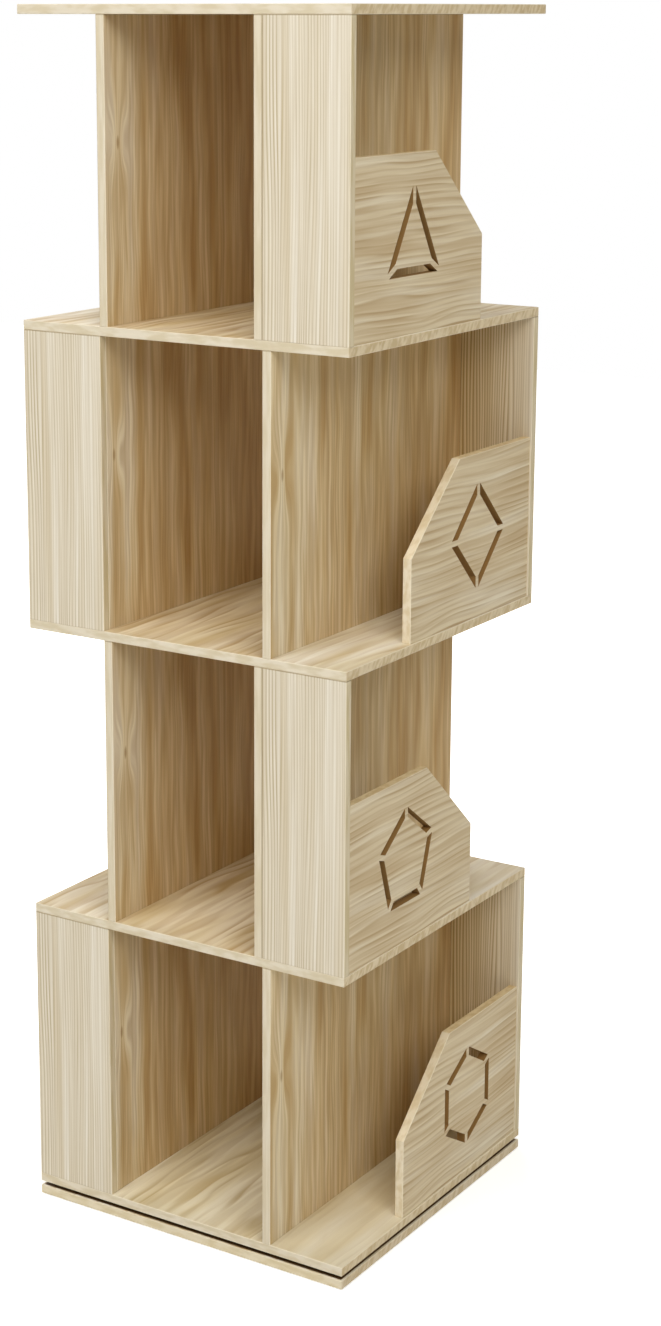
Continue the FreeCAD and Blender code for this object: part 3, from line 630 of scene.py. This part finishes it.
# A screw at every solid of a CAD node, its face at the node's lower or upper end.
def screwSet(name, node, look, body, faceDown):
    one = crossScrew(look)
    shape = bpy.data.meshes.new("one screw")
    one.to_mesh(shape)
    one.free()
    low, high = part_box(node)
    level = low.z - look["proud"] * mm if faceDown else high.z + look["proud"] * mm
    whole = bmesh.new()
    for centre in solidCentres(node, look["apart"] * mm):
        before = len(whole.verts)
        whole.from_mesh(shape)
        whole.verts.ensure_lookup_table()
        spin = Matrix.Rotation(rng.uniform(0, math.tau), 4, "Z")
        flip = Matrix.Rotation(math.pi if faceDown else 0, 4, "X")
        place = Matrix.Translation((centre.x, centre.y, level))
        bmesh.ops.transform(whole, matrix=place @ flip @ spin, verts=whole.verts[before:])
    bpy.data.meshes.remove(shape)
    return finishPiece(name, whole, body, screwZinc, node)


# Countersunk screws under the uprights, each with a flat face just proud of the shelf.
countersunkLook = {
    "head": ((3.85, 0), (4.1, -0.06), (4.1, -0.2), (1.75, -2.6), (1.75, -11)),
    "thread": (-11, -26), "pitch": 1.5, "core": 1.2, "shank": 1.75, "steps": 20,
    "crossReach": 2.0, "crossHalf": 0.45, "crossDepth": 1.6, "crossTaper": 0.6, "proud": 0.25, "apart": 9,
}
# Pan-head screws that hold the turntable's plates.
panHeadLook = {
    "head": ((2.6, 0), (3.2, -0.18), (3.55, -0.6), (3.6, -1.1), (3.45, -1.2), (1.75, -1.2), (1.75, -2.4)),
    "thread": (-2.4, -8), "pitch": 1.0, "core": 1.2, "shank": 1.75, "steps": 20,
    "crossReach": 1.7, "crossHalf": 0.4, "crossDepth": 0.8, "crossTaper": 0.6, "proud": 0.0, "apart": 9,
}
for tier in tiers:
    screws = "tier_%d_screws" % tier
    screwSet("tier_%d_countersunk_screws" % tier, screws, countersunkLook, "carousel", True)
    dress("tier_%d_dowels" % tier, beech)
screwSet("lower_pan_head_screws", "turntable_screws_lower", panHeadLook, "base", False)
screwSet("upper_pan_head_screws", "turntable_screws_upper", panHeadLook, "carousel", True)

# Ground steel balls in the race.
ballLook = {"radius": 1.5, "around": 20, "rings": 12, "apart": 4}
balls = bmesh.new()
for centre in solidCentres("turntable_balls", ballLook["apart"] * mm):
    bmesh.ops.create_uvsphere(balls, u_segments=ballLook["around"], v_segments=ballLook["rings"],
                              radius=ballLook["radius"] * mm, matrix=Matrix.Translation(centre))
finishPiece("bearing_balls", balls, "base", ballSteel, "turntable_balls")

# The hollow rivet: a tube with both ends rolled out over the plates.
rivetLook = {
    "section": (
        (4.0, -2.2), (4.0, 2.2), (4.3, 2.4), (8.6, 2.4), (9.0, 2.2), (9.0, 1.9), (8.7, 1.7),
        (5.3, 1.7), (5.0, 1.4), (5.0, -1.4), (5.3, -1.7),
        (8.7, -1.7), (9.0, -1.9), (9.0, -2.2), (8.6, -2.4), (4.3, -2.4)),
    "steps": 48,
}
rivet = turned(rivetLook["section"], rivetLook["steps"], closed=True)
rivetLow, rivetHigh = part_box("centre_rivet")
bmesh.ops.translate(rivet, verts=rivet.verts, vec=(rivetLow + rivetHigh) / 2)
finishPiece("hollow_rivet", rivet, "base", zincSheet, "centre_rivet")


print("camera, light and floor")

# The photograph's own camera: place, direction and the off-centre framing of its crop.
cameraLook = {
    "place": (1.4242, -2.2163, 1.3131), "azimuth": 33.289, "elevation": 12.547,
    "lens": 66.82, "sensor": 36, "shift": (0.0514, -0.0787),
}
cameraData = bpy.data.cameras.new("camera")
cameraData.sensor_width = cameraLook["sensor"]
cameraData.lens = cameraLook["lens"]
cameraData.shift_x, cameraData.shift_y = cameraLook["shift"]
cameraObject = bpy.data.objects.new("camera", cameraData)
cameraObject.location = cameraLook["place"]
cameraTilt = math.radians(90 - cameraLook["elevation"])
cameraObject.rotation_euler = (cameraTilt, 0, math.radians(cameraLook["azimuth"]))
bpy.context.collection.objects.link(cameraObject)
bpy.context.scene.camera = cameraObject

# Soft boxes round the object: azimuth from the front towards the right, and height, in degrees.
boxLook = {"distance": 4.6, "size": 2.8, "aim": (0, 0, 0.66)}
softBoxes = (
    {"name": "front box", "azimuth": -15, "elevation": 42, "watts": 99, "tint": "#FFFFFF"},
    {"name": "right box", "azimuth": 50, "elevation": 39, "watts": 110, "tint": "#FFFCF7"},
    {"name": "left fill", "azimuth": 229, "elevation": 27, "watts": 58, "tint": "#FFFAF1"},
)
for box in softBoxes:
    azimuth, elevation = math.radians(box["azimuth"]), math.radians(box["elevation"])
    level = math.cos(elevation)
    out = Vector((math.sin(azimuth) * level, -math.cos(azimuth) * level, math.sin(elevation)))
    lamp = bpy.data.lights.new(box["name"], "AREA")
    lamp.shape = "SQUARE"
    lamp.size = boxLook["size"]
    lamp.energy = box["watts"]
    lamp.color = linearColour(box["tint"])[:3]
    lampObject = bpy.data.objects.new(box["name"], lamp)
    lampObject.location = Vector(boxLook["aim"]) + out * boxLook["distance"]
    lampObject.rotation_euler = out.to_track_quat("Z", "Y").to_euler()
    bpy.context.collection.objects.link(lampObject)


# 1 for what the camera, a mirror or glass sees, and 0 for the light that lies on the object.
def seenPlainly(add):
    rays = add("LightPath").outputs
    seen = add("Math", {0: rays["Is Camera Ray"], 1: rays["Is Glossy Ray"]}, operation="MAXIMUM")
    return add("Math", {0: seen, 1: rays["Is Transmission Ray"]}, operation="MAXIMUM")


# Dim all-round light on the object; the camera, mirrors and glass see plain white.
airLook = {"tint": "#FFFDF8", "strength": 0.22, "seen": "#FFFFFF"}
world = bpy.data.worlds.new("studio")
world.use_nodes = True
world.node_tree.nodes.clear()
bpy.context.scene.world = world
addAir = functools.partial(addNode, world.node_tree)
dim = addAir("Background", {"Color": airLook["tint"], "Strength": airLook["strength"]})
white = addAir("Background", {"Color": airLook["seen"], "Strength": 1.0})
either = addAir("MixShader", {0: seenPlainly(addAir), 1: dim, 2: white})
addAir("OutputWorld", {0: either})

# White floor: painted board with a faint mottle, lifted to white for the camera away from the object.
floorLook = {
    "size": 6, "dark": "#F0F0EE", "pale": "#F4F4F2", "mottle": 3.0, "mottleRange": (0.3, 0.7),
    "rough": 0.9, "specular": 0.1, "glow": "#FFFFFF", "liftFrom": 0.28, "liftTo": 0.5, "liftLeast": 0.5,
}
floorMaterial, addFloor = newMaterial("matt white studio floor")
floorPlace = addFloor("TexCoord").outputs["Object"]
floorNoise = addFloor("TexNoise", {"Vector": floorPlace, "Scale": floorLook["mottle"], "Detail": 2.0})
mottleStart, mottleEnd = floorLook["mottleRange"]
floorStops = [(mottleStart, floorLook["dark"]), (mottleEnd, floorLook["pale"])]
floorColour = addFloor("ValToRGB", {0: floorNoise}, stops=floorStops)
floorReach = addFloor("VectorMath", {0: floorPlace}, operation="LENGTH")
floorGlow = addFloor("MapRange", {
    0: floorReach, 1: floorLook["liftFrom"], 2: floorLook["liftTo"],
    3: floorLook["liftLeast"], 4: 1.0}, **smooth)
floorLift = addFloor("Math", {0: seenPlainly(addFloor), 1: floorGlow}, operation="MULTIPLY")
floorShader = addFloor("BsdfPrincipled", {
    "Base Color": floorColour, "Roughness": floorLook["rough"], "Specular IOR Level": floorLook["specular"],
    "Emission Color": floorLook["glow"], "Emission Strength": floorLift})
addFloor("OutputMaterial", {0: floorShader})
floorMesh = bmesh.new()
bmesh.ops.create_grid(floorMesh, x_segments=4, y_segments=4, size=floorLook["size"])
floorData = bpy.data.meshes.new("floor")
floorMesh.to_mesh(floorData)
floorMesh.free()
floorData.materials.append(floorMaterial)
floorObject = bpy.data.objects.new("floor", floorData)
bpy.context.collection.objects.link(floorObject)

bpy.context.scene.view_settings.view_transform = "Standard"
